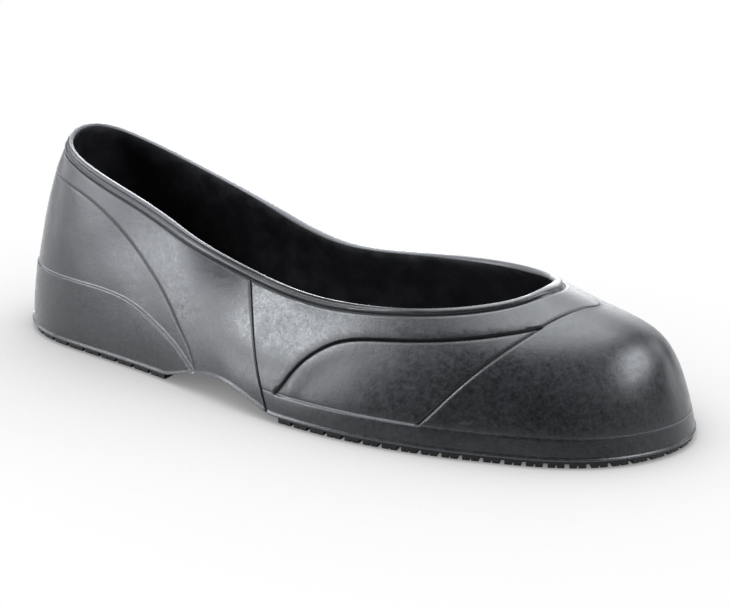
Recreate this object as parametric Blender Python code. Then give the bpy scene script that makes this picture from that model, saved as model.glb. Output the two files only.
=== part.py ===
"""A rubber overshoe for the right foot.

A thin hollow upper with a beaded collar is closed from below by a full-length sole with a raised
arch. Two black outsoles with rows of lugs lie under the heel and the forefoot.
X points to the toe, Y to the inner side of the foot, Z up. Sizes are in millimetres until a mesh is
made, which is in metres.
"""
import bmesh
import bpy
import numpy as np
from mathutils import Vector
from mathutils.geometry import delaunay_2d_cdt

MM = 0.001

# Driving dimensions
LENGTH = 301.3
BALL_WIDTH = 105.0
HEEL_HEIGHT = 84.8
INSTEP_HEIGHT = 42.7
WALL = 2.2
GAP = 0.3
EDGE_HEIGHT = 2.6

# Low relief of the wall, measured out from its plain surface
FOXING_PROUD = 0.8
FOXING_PROUD_AT_TOE = 0.4
LIP_PROUD = 0.5
LIP_WIDTH = 1.8
COUNTER_PROUD = 0.9
COUNTER_PROUD_AT_HEEL = 0.4
QUARTER_PROUD = 0.6
VAMP_PROUD = 0.8
TOE_CAP_PROUD = 0.5
BEAD_PROUD = 1.0
THROAT_BEAD_PROUD = 1.6
BEAD_WIDTH = 5.0
RIM_CROWN = 0.3
FOXING_TOP = 10.6
LEDGE = 0.9

# Sole and outsoles
SOLE_THICKNESS = 3.0
HEEL_OUTSOLE_FRONT = 101.0
FOREFOOT_OUTSOLE_BACK = 165.0
OUTSOLE_INSET = 0.1
OUTSOLE_TOP = EDGE_HEIGHT - GAP
GROOVE_FLOOR = 1.5
LUG = 6.8
LUG_PITCH = 8.8
EDGE_LUG_DEPTH = 6.5
HEEL_EDGE_PITCH = 9.9
FOREFOOT_EDGE_PITCH = 7.4
LUG_SPACING = 2.0
SMALLEST_LUG = 9.0
TOE_SPRING = 0.7
TOE_SPRING_START = 268.0

# How finely the curved walls are faceted
SEAM_STEP = 7.0
ARCH_STEP = 5.0
OUTER_CELL = 9.0
INNER_CELL = 11.0
SOLE_COLUMNS = 5
FOOTPRINT_POINTS = 84

# Sections of the wall from the heel to the toe, the same on both sides. Columns:
# name; foot and collar place along the length, as a share of it; half widths of the footprint
# and of the collar, as a share of the ball width; collar height from the instep (0) to the heel (1);
# angle at which the wall leaves the sole and reaches the collar, in degrees from level;
# how far each angle holds, in mm
SECTIONS = [
    ("heel_back",   0.000, 0.000, 0.000, 0.086, 0.000, 1.000, 85.2, 30.0, 55.0, 22.0),
    ("heel_corner", 0.053, 0.249, 0.268, 0.118, 0.175, 0.866, 85.0, 27.0, 60.0, 21.0),
    ("heel_side",   0.170, 0.348, 0.363, 0.243, 0.228, 0.554, 84.6, 24.0, 64.0, 18.5),
    ("waist",       0.355, 0.424, 0.320, 0.358, 0.250, 0.248, 82.8, 21.3, 63.5, 16.2),
    ("instep",      0.512, 0.516, 0.347, 0.463, 0.254, 0.030, 82.6, 21.0, 55.0, 14.8),
    ("ball",        0.684, 0.527, 0.458, 0.589, 0.324, 0.000, 80.0, 21.8, 42.0, 15.3),
    ("toe_side",    0.837, 0.425, 0.456, 0.720, 0.288, 0.061, 77.6, 25.0, 31.6, 19.6),
    ("toe_corner",  0.949, 0.259, 0.314, 0.799, 0.150, 0.144, 77.2, 33.5, 27.0, 29.7),
    ("toe_tip",     1.000, 0.000, 0.000, 0.829, 0.000, 0.193, 78.0, 46.0, 18.0, 42.4),
]
COLUMNS = ["name", "foot_along", "foot_lateral", "foot_medial", "collar_along", "collar_half",
           "collar_rise", "foot_angle", "foot_reach", "collar_angle", "collar_reach"]
TOE_TIP_TO_MEDIAL = 6.3

# Seams on the wall. Columns: round, 0 at the heel line and 1 at the toe line; height in mm
COUNTER_TOP = [(0.00, 29.8), (0.10, 29.3), (0.20, 28.8), (0.26, 26.6), (0.32, 20.6), (0.36, 14.9),
               (0.395, 7.5)]
QUARTER_EDGE = [(0.000, 69.0), (0.085, 67.6), (0.148, 61.5), (0.217, 49.3), (0.293, 36.4), (0.339, 26.7),
                (0.363, 19.5), (0.380, 13.6)]
SIDE_SEAM = [(0.514, 2.6), (0.491, 22.3), (0.468, 43.0)]
FLASH_TOP = [(0.524, 10.0), (0.555, 20.0), (0.586, 26.1), (0.646, 32.6), (0.712, 35.5), (0.802, 38.8),
             (0.890, 42.8)]
TOE_CAP_EDGE = [(0.700, 10.0), (0.738, 19.7), (0.802, 32.3), (0.872, 41.2), (0.951, 46.9), (1.000, 47.9)]
ARCH_EDGE = [(0.344, 2.6), (0.354, 4.9), (0.386, 8.8), (0.421, 10.5), (0.464, 10.0), (0.497, 6.3),
             (0.513, 4.4), (0.531, 2.6)]

# How each seam is cut. Columns: name; side of the line that its ledge lies on, 1 above it or in front
# and -1 below it; depth in mm of the groove along the ledge
SEAM_CUTS = [
    ("counter", -1, 0.0),
    ("quarter", 1, 0.4),
    ("side", 1, 0.7),
    ("flash", 1, 0.5),
    ("toe_cap", -1, 0.4),
    ("foxing", -1, 0.0),
    ("bead", 1, 0.3),
]


def spline(knots, values, at, period=None):
    """A smooth curve through values at knots, read at other places. It closes if it has a period."""
    knots = np.asarray(knots, float)
    values = np.asarray(values, float)
    at = np.asarray(at, float)
    if period:
        at = knots[0] + np.mod(at - knots[0], period)
        knots = np.append(knots, knots[0] + period)
        values = np.append(values, values[0])
    last = len(knots) - 1
    step = np.diff(knots)
    rise = np.diff(values) / step
    system = np.eye(last + 1)
    target = np.zeros(last + 1)
    for i in range(1, last):
        system[i, i - 1:i + 2] = step[i - 1], 2 * (step[i - 1] + step[i]), step[i]
        target[i] = 6 * (rise[i] - rise[i - 1])
    if period:
        system[last, 0] = -1.0
        system[0, 0] = 2 * (step[-1] + step[0])
        system[0, 1] = step[0]
        system[0, last - 1] = step[-1]
        target[0] = 6 * (rise[0] - rise[-1])
    bend = np.linalg.solve(system, target)
    i = np.clip(np.searchsorted(knots, at, side="right") - 1, 0, last - 1)
    near = (knots[i + 1] - at) / step[i]
    far = (at - knots[i]) / step[i]
    curve = ((near ** 3 - near) * bend[i] + (far ** 3 - far) * bend[i + 1]) * step[i] ** 2 / 6
    return near * values[i] + far * values[i + 1] + curve


def there_and_back(outer, inner):
    """One loop round the shoe: the outer side from heel to toe, then the inner side back."""
    return np.concatenate([outer, inner[1:-1][::-1]])


COLUMN = {name: np.array([row[i] for row in SECTIONS]) for i, name in enumerate(COLUMNS) if i}
HEEL_X = COUNTER_PROUD_AT_HEEL + LIP_PROUD
FOOT_LENGTH = LENGTH - HEEL_X - FOXING_PROUD_AT_TOE - LIP_PROUD
FOOT_X = HEEL_X + there_and_back(COLUMN["foot_along"], COLUMN["foot_along"]) * FOOT_LENGTH
FOOT_Y = there_and_back(-COLUMN["foot_lateral"], COLUMN["foot_medial"]) * BALL_WIDTH
TOE_KNOT = len(SECTIONS) - 1
FOOT_Y[TOE_KNOT] = TOE_TIP_TO_MEDIAL
CHORDS = np.hypot(np.roll(FOOT_X, -1) - FOOT_X, np.roll(FOOT_Y, -1) - FOOT_Y)
KNOTS = np.concatenate([[0.0], np.cumsum(CHORDS)[:-1]]) / CHORDS.sum()
TOE_SHARE = KNOTS[TOE_KNOT]


def around(values, share):
    """A value of the sections at any share of the way round the footprint."""
    return spline(KNOTS, values, share, period=1.0)


FOOTPRINT_Y = around(FOOT_Y, np.linspace(0, 1, 721))
CENTRE = np.array([LENGTH / 2, (FOOTPRINT_Y.min() + FOOTPRINT_Y.max()) / 2, 0.0])


def share_of(place, side):
    """Share of the way round the footprint of a place from heel (0) to toe (1) on one side."""
    if side == "lateral":
        return place * TOE_SHARE
    return 1 - place * (1 - TOE_SHARE)


def wall_points(share, up):
    """Points of the plain wall, up from the sole (0) to the collar (1), by one cubic a section."""
    share, up = np.broadcast_arrays(np.asarray(share, float), np.asarray(up, float))
    foot = np.stack([around(FOOT_X, share), around(FOOT_Y, share), np.full(share.shape, EDGE_HEIGHT)], -1)
    collar_x = HEEL_X + there_and_back(COLUMN["collar_along"], COLUMN["collar_along"]) * FOOT_LENGTH
    collar_y = there_and_back(-COLUMN["collar_half"], COLUMN["collar_half"]) * BALL_WIDTH
    rise = there_and_back(COLUMN["collar_rise"], COLUMN["collar_rise"])
    collar_z = INSTEP_HEIGHT + rise * (HEEL_HEIGHT - INSTEP_HEIGHT)
    collar = np.stack([around(collar_x, share), around(collar_y, share), around(collar_z, share)], -1)
    across = collar[..., :2] - foot[..., :2]
    across = across / np.linalg.norm(across, axis=-1, keepdims=True)
    handles = []
    for angle, reach in (("foot_angle", "foot_reach"), ("collar_angle", "collar_reach")):
        tilt = np.radians(around(there_and_back(COLUMN[angle], COLUMN[angle]), share))[..., None]
        length = around(there_and_back(COLUMN[reach], COLUMN[reach]), share)[..., None]
        handles.append(length * np.concatenate([across * np.cos(tilt), np.sin(tilt)], -1))
    up = up[..., None]
    first = foot + handles[0]
    second = collar - handles[1]
    down = 1 - up
    return down ** 3 * foot + 3 * down ** 2 * up * first + 3 * down * up ** 2 * second + up ** 3 * collar


def wall_slopes(share, up):
    """Unit directions of the plain wall at a point: up the wall, and straight out of it."""
    small = 1e-4
    upward = wall_points(share, np.add(up, small)) - wall_points(share, np.subtract(up, small))
    onward = wall_points(np.add(share, small), up) - wall_points(np.subtract(share, small), up)
    out = np.cross(onward, upward)
    upward = upward / np.linalg.norm(upward, axis=-1, keepdims=True)
    return upward, out / np.linalg.norm(out, axis=-1, keepdims=True)


def inside_points(share, up, depth):
    """Points at a depth inside the wall. Close to the sole they keep the height of the wall there."""
    point = wall_points(share, up)
    upward, out = wall_slopes(share, up)
    inside = point - out * depth
    level = np.clip(1 - np.asarray(up) / 0.3, 0, 1) * depth * out[..., 2] / upward[..., 2]
    return inside + upward * np.asarray(level)[..., None]


def up_at_height(place, height):
    """How far up the outer wall a height lies, at places from heel to toe."""
    place, height = np.broadcast_arrays(np.asarray(place, float), np.asarray(height, float))
    ladder = np.linspace(0, 1, 161)
    heights = wall_points(share_of(place, "lateral")[..., None], ladder)[..., 2]
    found = [np.interp(h, row, ladder) for h, row in zip(height.ravel(), heights.reshape(-1, 161))]
    return np.array(found).reshape(place.shape)


def seam_height(table, place):
    """Height of a seam at any place. One that starts at the heel or ends at the toe is level there."""
    knots = [row[0] for row in table]
    heights = [row[1] for row in table]
    if knots[0] == 0.0:
        knots = [-knots[1]] + knots
        heights = [heights[1]] + heights
    if knots[-1] == 1.0:
        knots = knots + [2 - knots[-2]]
        heights = heights + [heights[-2]]
    return spline(knots, heights, np.clip(place, knots[0], knots[-1]))


def edge_height(place):
    """Height of the wall's lower edge, which rises over the arch."""
    return np.interp(place, [row[0] for row in ARCH_EDGE], [row[1] for row in ARCH_EDGE])


def seam_line(table, start=None, end=None):
    """A seam as a dense row of (place, up) points."""
    place = np.linspace(start or table[0][0], end or table[-1][0], 240)
    return np.stack([place, up_at_height(place, seam_height(table, place))], -1)


def side_seam_line():
    """The seam down the side, from under the bead to the lower edge, as (place, up) points."""
    height = np.linspace(SIDE_SEAM[0][1], SIDE_SEAM[-1][1], 120)
    place = spline([row[1] for row in SIDE_SEAM], [row[0] for row in SIDE_SEAM], height)
    return np.stack([place, up_at_height(place, height)], -1)


def bead_line():
    """The lower edge of the collar bead, a bead's width below the rim, as (place, up) points."""
    place = np.linspace(0, 1, 240)
    ladder = np.linspace(0.5, 1, 81)
    points = wall_points(share_of(place, "lateral")[:, None], ladder)
    steps = np.linalg.norm(np.diff(points, axis=1), axis=-1)
    below_rim = np.cumsum(steps[:, ::-1], axis=1)
    up = [np.interp(BEAD_WIDTH, row, ladder[:-1][::-1]) for row in below_rim]
    return np.stack([place, np.array(up)], -1)


def foxing_line():
    """The top edge of the foxing band, from the side seam round the toe, as (place, up) points."""
    place = np.linspace(SIDE_SEAM[0][0] - 0.006, 1, 240)
    return np.stack([place, up_at_height(place, FOXING_TOP)], -1)


SEAMS = {
    "counter": seam_line(COUNTER_TOP),
    "quarter": seam_line(QUARTER_EDGE),
    "side": side_seam_line(),
    "flash": seam_line(FLASH_TOP),
    "toe_cap": seam_line(TOE_CAP_EDGE),
    "foxing": foxing_line(),
    "bead": bead_line(),
}


def line_points(line):
    """A line on the wall in space, on the outer side of the foot."""
    return wall_points(share_of(line[:, 0], "lateral"), line[:, 1])


def side_step(line, distance):
    """The line moved sideways over the wall by a distance in mm, to its left as it runs heel to toe."""
    small = 1e-4
    share = share_of(line[:, 0], "lateral")
    by_place = (wall_points(share + small * TOE_SHARE, line[:, 1]) - wall_points(share, line[:, 1])) / small
    by_up = (wall_points(share, line[:, 1] + small) - wall_points(share, line[:, 1])) / small
    run = np.gradient(line, axis=0)
    along = by_place * run[:, :1] + by_up * run[:, 1:]
    along /= np.linalg.norm(along, axis=-1, keepdims=True)
    left = np.cross(np.cross(by_place, by_up), along)
    left /= np.linalg.norm(left, axis=-1, keepdims=True)
    metric = np.stack([np.stack([(by_place ** 2).sum(-1), (by_place * by_up).sum(-1)], -1),
                       np.stack([(by_place * by_up).sum(-1), (by_up ** 2).sum(-1)], -1)], -2)
    pull = np.stack([(left * by_place).sum(-1), (left * by_up).sum(-1)], -1)
    shift = np.linalg.solve(metric, pull[..., None])[..., 0]
    return line + shift * distance


def distance_to(name, place, up, points):
    """Signed distance in mm from a seam over the wall, positive above it or in front of the side seam."""
    line = SEAMS[name]
    spots = line_points(line)
    start = spots[:-1]
    run = spots[1:] - start
    length = (run ** 2).sum(-1)
    best = np.full(len(points), np.inf)
    for first in range(0, len(points), 2000):
        block = points[first:first + 2000, None, :]
        share = np.clip(((block - start) * run).sum(-1) / length, 0, 1)
        gap = np.linalg.norm(block - start - run * share[..., None], axis=-1)
        best[first:first + 2000] = gap.min(1)
    if name == "side":
        sign = np.where(place > np.interp(up, line[:, 1], line[:, 0]), 1.0, -1.0)
    else:
        sign = np.where(up > np.interp(place, line[:, 0], line[:, 1]), 1.0, -1.0)
    return best * sign


def ramp(distance, width):
    """0 on the near side of a seam, 1 past a ledge of some width."""
    return np.clip(distance / width, 0, 1)


def groove(name, distance):
    """Depth of the narrow groove along the ledge of a seam."""
    side, depth = next((cut[1], cut[2]) for cut in SEAM_CUTS if cut[0] == name)
    return depth * np.clip(1 - np.abs(distance * side - LEDGE / 2) / (LEDGE / 2), 0, 1)


def relief(place, up):
    """How far the wall stands out of its plain surface: overlays laid over one another, then seams."""
    points = wall_points(share_of(place, "lateral"), up)
    far = {name: distance_to(name, place, up, points) for name in SEAMS}
    in_front = ramp(far["side"], LEDGE)
    behind = 1 - in_front
    before_flash = place < SEAMS["flash"][-1, 0]
    in_cap = np.where(place >= SEAMS["toe_cap"][0, 0], ramp(-far["toe_cap"], LEDGE), 0.0)
    above_flash = np.where(before_flash, ramp(far["flash"], LEDGE), 1.0) * (place > SEAMS["flash"][0, 0])
    above_flash = np.where(place <= SEAMS["flash"][0, 0], 1.0, above_flash)
    above_quarter = np.where(place < SEAMS["quarter"][-1, 0], ramp(far["quarter"], LEDGE), 1.0)
    off_heel = np.clip(place / 0.12, 0, 1)
    rise = (QUARTER_PROUD * above_quarter * behind - groove("quarter", far["quarter"])) * off_heel
    rise = rise + VAMP_PROUD * above_flash * in_front * (1 - in_cap) + TOE_CAP_PROUD * in_cap
    rise = rise - groove("flash", far["flash"]) - groove("toe_cap", far["toe_cap"])
    below_counter = np.where(place < SEAMS["counter"][-1, 0], ramp(-far["counter"], LEDGE), 0.0)
    from_heel = np.clip(place / 0.15, 0, 1)
    counter = COUNTER_PROUD_AT_HEEL + (COUNTER_PROUD - COUNTER_PROUD_AT_HEEL) * from_heel
    rise = rise * (1 - below_counter) + counter * below_counter
    in_foxing = ramp(-far["foxing"], LEDGE) * in_front * (place > SEAMS["foxing"][0, 0])
    by_toe = np.clip((place - 0.75) / 0.25, 0, 1)
    foxing = FOXING_PROUD + (FOXING_PROUD_AT_TOE - FOXING_PROUD) * by_toe
    rise = rise * (1 - in_foxing) + foxing * in_foxing
    above_edge = points[:, 2] - edge_height(place)
    rise = rise + LIP_PROUD * (1 - ramp(above_edge - LIP_WIDTH, LEDGE)) - groove("side", far["side"])
    in_bead = ramp(far["bead"], LEDGE)
    towards_throat = np.clip((place - 0.7) / 0.25, 0, 1)
    bead = BEAD_PROUD + (THROAT_BEAD_PROUD - BEAD_PROUD) * towards_throat
    return rise * (1 - in_bead) + bead * in_bead - groove("bead", far["bead"])


def meridian_length(place):
    """Length up the wall at places from heel to toe, and the ladder that it is measured on."""
    ladder = np.linspace(0, 1, 61)
    points = wall_points(share_of(np.asarray(place, float), "lateral")[..., None], ladder)
    steps = np.linalg.norm(np.diff(points, axis=-2), axis=-1)
    return ladder, np.concatenate([np.zeros(steps.shape[:-1] + (1,)), np.cumsum(steps, axis=-1)], -1)


HALF_GIRTH = CHORDS.sum() / 2


def unroll(line):
    """Lay (place, up) points out flat in mm: along the footprint, and up along the wall."""
    ladder, lengths = meridian_length(line[:, 0])
    rise = [np.interp(up, ladder, row) for up, row in zip(line[:, 1], lengths)]
    return np.stack([line[:, 0] * HALF_GIRTH, np.array(rise)], -1)


def roll_up(flat):
    """Turn flat points back into (place, up)."""
    place = np.clip(flat[:, 0] / HALF_GIRTH, 0, 1)
    ladder, lengths = meridian_length(place)
    up = [np.interp(rise, row, ladder) for rise, row in zip(flat[:, 1], lengths)]
    return np.stack([place, np.array(up)], -1)


def spaced(line, step):
    """The same flat line with even points about one step apart."""
    lengths = np.concatenate([[0], np.cumsum(np.linalg.norm(np.diff(line, axis=0), axis=1))])
    count = max(2, int(round(lengths[-1] / step)) + 1)
    marks = np.linspace(0, lengths[-1], count)
    return np.stack([np.interp(marks, lengths, line[:, i]) for i in range(2)], -1)


def seam_edges():
    """The flat lines where the relief bends: both edges of each ledge, and the foot of its groove."""
    lines = []
    for name, side, depth in SEAM_CUTS:
        marks = (0.0, LEDGE / 2, LEDGE) if depth else (0.0, LEDGE)
        for mark in marks:
            line = side_step(SEAMS[name], mark * side * (-1 if name == "side" else 1))
            keep = (line[:, 0] >= 0) & (line[:, 0] <= 1) & (line[:, 1] >= 0) & (line[:, 1] <= 1)
            line = line[keep]
            if name in ("counter", "quarter", "bead"):
                line[0, 0] = 0.0
            if name in ("toe_cap", "foxing", "bead"):
                line[-1, 0] = 1.0
            lines.append(spaced(unroll(line), SEAM_STEP))
    return lines + [lower_edge(LIP_WIDTH), lower_edge(LIP_WIDTH + LEDGE)]


def edge_places():
    """Places along the lower edge: evenly spaced behind and in front of the arch, closer over it."""
    back, front = ARCH_EDGE[0][0], ARCH_EDGE[-1][0]
    places = [np.array([0.0])]
    for start, end, step in ((0, back, SEAM_STEP), (back, front, ARCH_STEP), (front, 1, SEAM_STEP)):
        count = int(round((end - start) * HALF_GIRTH / step))
        places.append(np.linspace(start, end, count + 1)[1:])
    return np.concatenate(places)


def lower_edge(lift=0.0):
    """The flat line along the wall's lower edge, or some mm above it."""
    place = edge_places()
    return unroll(np.stack([place, up_at_height(place, edge_height(place) + lift)], -1))


def wall_border():
    """The flat outline of half the wall: lower edge to the toe, up, the rim back, and down the heel."""
    place = np.linspace(0, 1, 400)
    lower = lower_edge()
    rim = spaced(unroll(np.stack([place, np.ones(len(place))], -1)), SEAM_STEP)[::-1]
    toe = spaced(np.array([lower[-1], rim[0]]), SEAM_STEP)
    heel = spaced(np.array([rim[-1], lower[0]]), SEAM_STEP)
    return np.concatenate([lower[:-1], toe[:-1], rim[:-1], heel[:-1]])


def facet(border, lines, cell):
    """Triangles that fill a flat border, follow the lines and are about one cell wide elsewhere."""
    fixed = np.concatenate([border] + lines)
    low, high = border.min(0), border.max(0)
    grid = []
    for row, y in enumerate(np.arange(low[1] + cell / 2, high[1], cell * 0.87)):
        for x in np.arange(low[0] + cell * (0.5 + 0.5 * (row % 2)), high[0], cell):
            if np.hypot(*(fixed - (x, y)).T).min() > cell * 0.55:
                grid.append((x, y))
    spots = np.concatenate([fixed, grid]) if grid else fixed
    edges = []
    first = len(border)
    for line in lines:
        edges += [(first + i, first + i + 1) for i in range(len(line) - 1)]
        first += len(line)
    face = [list(range(len(border)))]
    found = delaunay_2d_cdt([Vector(spot) for spot in spots], edges, face, 0, 1e-3)
    flat = np.array([(spot.x, spot.y) for spot in found[0]])
    inside = [tri for tri, origin in zip(found[2], found[5]) if 0 in origin]
    return flat, inside


def open_ring(triangles):
    """The corners round the outside of a patch of triangles, in order."""
    used = {}
    for tri in triangles:
        for i in range(3):
            pair = (tri[i], tri[(i + 1) % 3])
            used[frozenset(pair)] = None if frozenset(pair) in used else pair
    following = dict(pair for pair in used.values() if pair)
    ring = [next(iter(following))]
    while following[ring[-1]] != ring[0]:
        ring.append(following[ring[-1]])
    return ring


def on_middle(place):
    """Whether a place lies on the heel or the toe line, where the two halves of the wall meet."""
    return place < 1e-6 or place > 1 - 1e-6


def inner_outline(flat, places, ring):
    """The outline of the inner skin: the outer one's, with wider steps up the heel and the toe line."""
    middle = [on_middle(places[i]) for i in ring]
    count = len(ring)
    kept = [ring[k] for k in range(count) if not (middle[k - 1] and middle[k] and middle[(k + 1) % count])]
    outline = []
    for here, after in zip(kept, kept[1:] + kept[:1]):
        outline.append(flat[here])
        if on_middle(places[here]) and on_middle(places[after]):
            outline.extend(spaced(flat[[here, after]], INNER_CELL)[1:-1])
    return np.array(outline)


class Shell:
    """Vertices and faces of one closed skin, with the two halves of the wall joined at heel and toe."""

    def __init__(self):
        self.points = []
        self.faces = []
        self.seen = {}

    def vertex(self, key, point):
        if key not in self.seen:
            self.seen[key] = len(self.points)
            self.points.append(tuple(point))
        return self.seen[key]

    def face(self, corners, flip=False):
        corners = list(dict.fromkeys(corners))
        if len(corners) > 2:
            self.faces.append(corners[::-1] if flip else corners)


def skin_key(name, side, spot, place):
    """What tells the vertices of the wall apart. Those of the heel and toe line belong to both sides."""
    return name, "middle" if on_middle(place) else side, round(spot[0], 3), round(spot[1], 3)


def add_skin(shell, name, flat, triangles, points_of):
    """Add both halves of one skin."""
    wall = roll_up(flat)
    for side in ("lateral", "medial"):
        points = points_of(share_of(wall[:, 0], side), wall[:, 1], wall[:, 0])
        for spot, place, point in zip(flat, wall[:, 0], points):
            shell.vertex(skin_key(name, side, spot, place), point)
        for tri in triangles:
            corners = [shell.seen[skin_key(name, side, flat[i], wall[i, 0])] for i in tri]
            shell.face(corners, flip=(side == "medial") != (name == "inner"))


def outer_points(share, up, place):
    """Points of the outer skin, with its relief."""
    _, out = wall_slopes(share, up)
    return wall_points(share, up) + out * relief(place, up)[:, None]


def inner_points(share, up, place):
    """Points of the plain inner skin."""
    return inside_points(share, up, WALL)


def upper_shell():
    """The hollow upper: outer skin with its relief, inner skin, and the edges that join them."""
    shell = Shell()
    flat, triangles = facet(wall_border(), seam_edges(), OUTER_CELL)
    add_skin(shell, "outer", flat, triangles, outer_points)
    ring = open_ring(triangles)
    wall = roll_up(flat)
    outline = inner_outline(flat, wall[:, 0], ring)
    inner_flat, inner_triangles = facet(outline, [lower_edge(SOLE_THICKNESS)], INNER_CELL)
    add_skin(shell, "inner", inner_flat, inner_triangles, inner_points)
    for here, after in zip(ring, ring[1:] + ring[:1]):
        if on_middle(wall[here, 0]) and on_middle(wall[after, 0]):
            continue
        ends = [(flat[i], wall[i, 0]) for i in (here, after)]
        for side in ("lateral", "medial"):
            close_edge(shell, side, ends, at_rim=wall[here, 1] > 0.5)
    return shell


def close_edge(shell, side, ends, at_rim):
    """Join the outer and inner skins along one edge; the rim is crowned along its middle."""
    rows = []
    for spot, place in ends:
        row = [shell.seen[skin_key(name, side, spot, place)] for name in ("outer", "inner")]
        if at_rim:
            outside, inside = (np.array(shell.points[corner]) for corner in row)
            crown = (outside + inside) / 2 + (0, 0, RIM_CROWN)
            row.insert(1, shell.vertex(skin_key("crown", side, spot, place), crown))
        rows.append(row)
    here, after = rows
    for k in range(len(here) - 1):
        shell.face([here[k], here[k + 1], after[k + 1], after[k]], flip=side == "medial")


def sole_shell():
    """The full-length bottom inside the wall: rows of points across, closed at heel and toe."""
    shell = Shell()
    places = edge_places()
    last = len(places) - 1
    rows = {}
    for level, lift in (("under", 0.0), ("over", SOLE_THICKNESS)):
        height = edge_height(places) + lift
        up = up_at_height(places, height)
        edges = {}
        for side in ("lateral", "medial"):
            edge = inside_points(share_of(places, side), up, WALL + GAP)
            edge[:, 2] = height
            edges[side] = edge
        for i in range(last + 1):
            tip = i in (0, last)
            spread = [0.0] if tip else np.linspace(0, 1, SOLE_COLUMNS)
            row = []
            for k, share in enumerate(spread):
                point = edges["lateral"][i] * (1 - share) + edges["medial"][i] * share
                row.append(shell.vertex((level, i, k), point))
            rows[level, i] = row * (SOLE_COLUMNS if tip else 1)
    for i in range(last):
        for k in range(SOLE_COLUMNS - 1):
            for level in ("under", "over"):
                here, there = rows[level, i], rows[level, i + 1]
                shell.face([here[k], there[k], there[k + 1], here[k + 1]], flip=level == "under")
        for k in (0, SOLE_COLUMNS - 1):
            low, high = rows["under", i], rows["over", i]
            low_on, high_on = rows["under", i + 1], rows["over", i + 1]
            shell.face([low[k], low_on[k], high_on[k], high[k]], flip=k > 0)
    return shell


def foot_edge(share, inset):
    """Flat points of the wall's foot, moved in by some mm."""
    small = 1e-4
    edge = wall_points(share, 0.0)[:, :2]
    run = wall_points(np.add(share, small), 0.0)[:, :2] - wall_points(np.subtract(share, small), 0.0)[:, :2]
    inward = np.stack([-run[:, 1], run[:, 0]], -1) / np.hypot(*run.T)[:, None]
    return edge + inward * inset


def foot_polygon(inset):
    """The closed outline of the foot, moved in by some mm."""
    share = np.arange(FOOTPRINT_POINTS) / FOOTPRINT_POINTS
    return [tuple(spot) for spot in foot_edge(share, inset)]


def edge_lugs(middle, back, front, pitch):
    """Corners of the lugs along the curved edge between two places, from one side round to the other."""
    share = middle + np.linspace(-0.5, 0.5, 1601)
    edge = foot_edge(share, OUTSOLE_INSET)
    keep = (edge[:, 0] >= back) & (edge[:, 0] <= front)
    share, edge = share[keep], edge[keep]
    lengths = np.concatenate([[0], np.cumsum(np.linalg.norm(np.diff(edge, axis=0), axis=1))])
    count = int(round((lengths[-1] + LUG_SPACING) / pitch))
    pitch = (lengths[-1] + LUG_SPACING) / count
    lugs = []
    for i in range(count):
        marks = np.interp(np.linspace(i * pitch, (i + 1) * pitch - LUG_SPACING, 3), lengths, share)
        outside = foot_edge(marks, OUTSOLE_INSET - 1.0)
        inside = foot_edge(marks[::-1], OUTSOLE_INSET + EDGE_LUG_DEPTH)
        lugs.append([tuple(spot) for spot in np.concatenate([outside, inside])])
    return lugs


def field_lugs(back, front):
    """Corners of the square lugs between two places, in rows across that are offset like bricks."""
    lugs = []
    columns = int((front - back) / LUG_PITCH) + 1
    rows = int(BALL_WIDTH / LUG_PITCH / 2) + 1
    for column in range(columns):
        left = back + column * LUG_PITCH
        right = min(left + LUG, front)
        for row in range(-rows, rows + 1):
            low = (row + 0.5 * (column % 2)) * LUG_PITCH - LUG / 2 + CENTRE[1]
            lugs.append([(left, low), (right, low), (right, low + LUG), (left, low + LUG)])
    return lugs


def area_of(flat, tri):
    """Area of one flat triangle."""
    a, b, c = (flat[i] for i in tri)
    return abs((b[0] - a[0]) * (c[1] - a[1]) - (b[1] - a[1]) * (c[0] - a[0])) / 2


def outsole_shell(middle, back, front, pitch):
    """A thin plate with lugs under it: one flat map of lugs and grooves, set out on three levels."""
    reach = BALL_WIDTH
    low, high = max(back, -LUG), min(front, LENGTH + LUG)
    band = [(low, -reach), (high, -reach), (high, reach), (low, reach)]
    field = foot_polygon(OUTSOLE_INSET + EDGE_LUG_DEPTH + LUG_SPACING)
    on_edge = edge_lugs(middle, back, front, pitch)
    spots, faces = [], []
    for polygon in [foot_polygon(OUTSOLE_INSET), band, field] + on_edge + field_lugs(low, high):
        faces.append(list(range(len(spots), len(spots) + len(polygon))))
        spots += polygon
    found = delaunay_2d_cdt([Vector(spot) for spot in spots], [], faces, 0, 1e-3)
    flat = np.array([(spot.x, spot.y) for spot in found[0]])
    first_block = 3 + len(on_edge)
    plate, lug_of = [], []
    sizes = {}
    for tri, origin in zip(found[2], found[5]):
        if 0 in origin and 1 in origin:
            on_ring = [face for face in origin if 3 <= face < first_block]
            in_field = [face for face in origin if face >= first_block and 2 in origin]
            lug = max(on_ring + in_field, default=None)
            plate.append(tuple(tri))
            lug_of.append(lug)
            sizes[lug] = sizes.get(lug, 0.0) + area_of(flat, tri)
    is_lug = [lug is not None and sizes[lug] > SMALLEST_LUG for lug in lug_of]
    return set_out(flat, plate, is_lug)


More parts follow.
